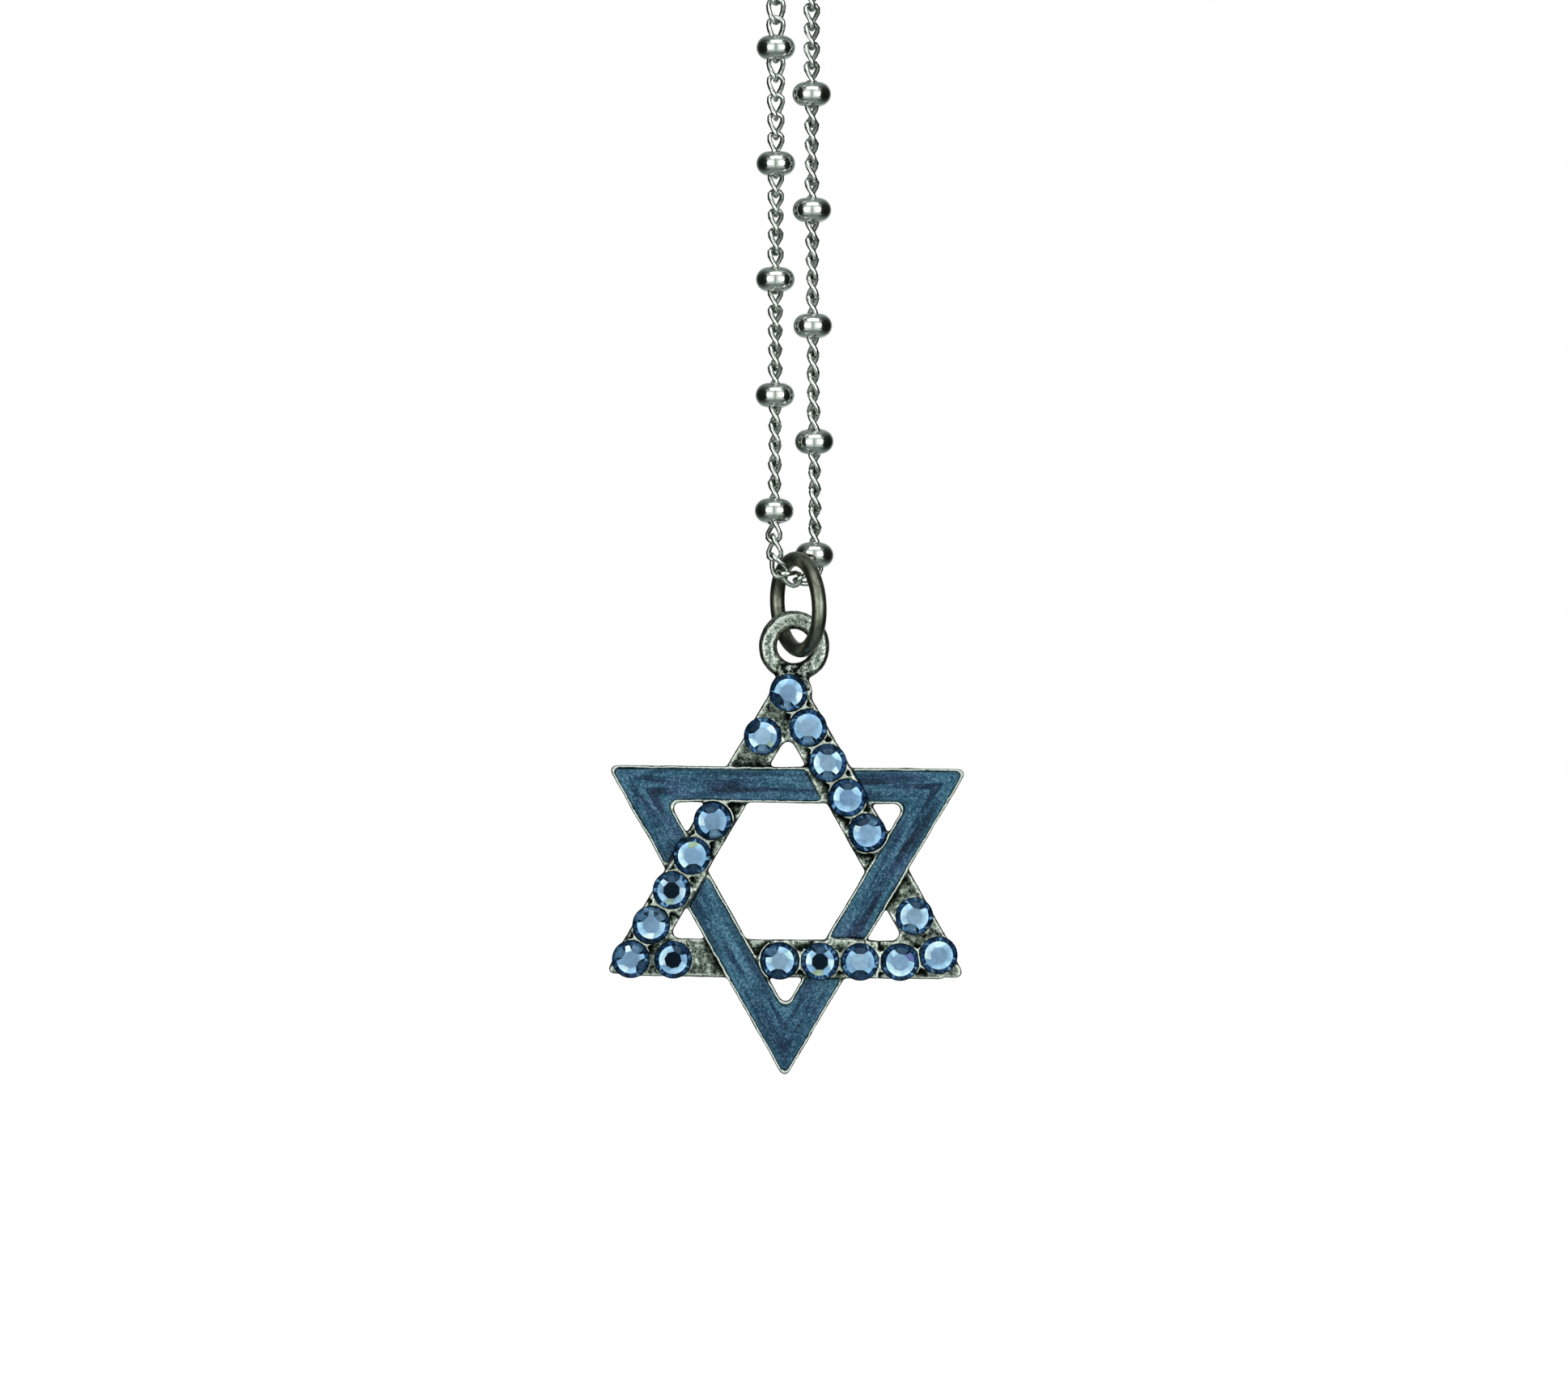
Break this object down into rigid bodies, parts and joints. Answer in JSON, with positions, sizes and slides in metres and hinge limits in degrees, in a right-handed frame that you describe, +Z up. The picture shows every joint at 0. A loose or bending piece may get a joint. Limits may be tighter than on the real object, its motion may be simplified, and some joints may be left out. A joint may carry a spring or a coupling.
{
  "type": "star pendant necklace",
  "caption": "Hanging necklace: woven six-pointed star pendant with stone-set and enamelled triangles, on a jump ring and a beaded curb chain closed by a hoop clasp.",
  "frame": {"origin": "hang_point, the middle of the wire's underside at the top of the clasp's hoop, where the necklace hangs", "axes": "+Z up, +X to the right and +Y away from someone who looks at the front of the star"},
  "size_m": [0.0238, 0.0064, 0.2356],
  "materials": {
    "antique_silver": "cast white metal, antique silver plated",
    "blue_enamel": "translucent pearl enamel",
    "sapphire_crystal": "cut and foiled",
    "gunmetal_wire": "drawn wire",
    "bright_silver": "polished silver plate"
  },
  "bodies": {
    "chain": {"chain_bottom": "bright_silver", "chain_top": "bright_silver", "chain_beads": "bright_silver", "clasp": "bright_silver", "end_ring_left": "bright_silver", "end_ring_right": "bright_silver"},
    "jump_ring": {"jump_ring": "gunmetal_wire"},
    "pendant": {"star": "antique_silver", "enamel_left": "blue_enamel", "enamel_right": "blue_enamel", "enamel_tip": "blue_enamel", "stone_01": "sapphire_crystal", "stone_02": "sapphire_crystal", "stone_03": "sapphire_crystal", "stone_04": "sapphire_crystal", "stone_05": "sapphire_crystal", "stone_06": "sapphire_crystal", "stone_07": "sapphire_crystal", "stone_08": "sapphire_crystal", "stone_09": "sapphire_crystal", "stone_10": "sapphire_crystal", "stone_11": "sapphire_crystal", "stone_12": "sapphire_crystal", "stone_13": "sapphire_crystal", "stone_14": "sapphire_crystal", "stone_15": "sapphire_crystal", "stone_16": "sapphire_crystal", "stone_17": "sapphire_crystal", "stone_18": "sapphire_crystal"}
  },
  "joints": [
    {"name": "ring_swing", "type": "hinge", "parent": "chain", "child": "jump_ring", "pos_m": [0.00015, 0, -0.2014], "axis": [0.8888, 0.454, 0.0621], "range_deg": [-60, 60]},
    {"name": "pendant_swing", "type": "hinge", "parent": "jump_ring", "child": "pendant", "pos_m": [0.00012, 0.0007, -0.20619], "axis": [0.4556, -0.8609, -0.2264], "range_deg": [-60, 60]}
  ]
}
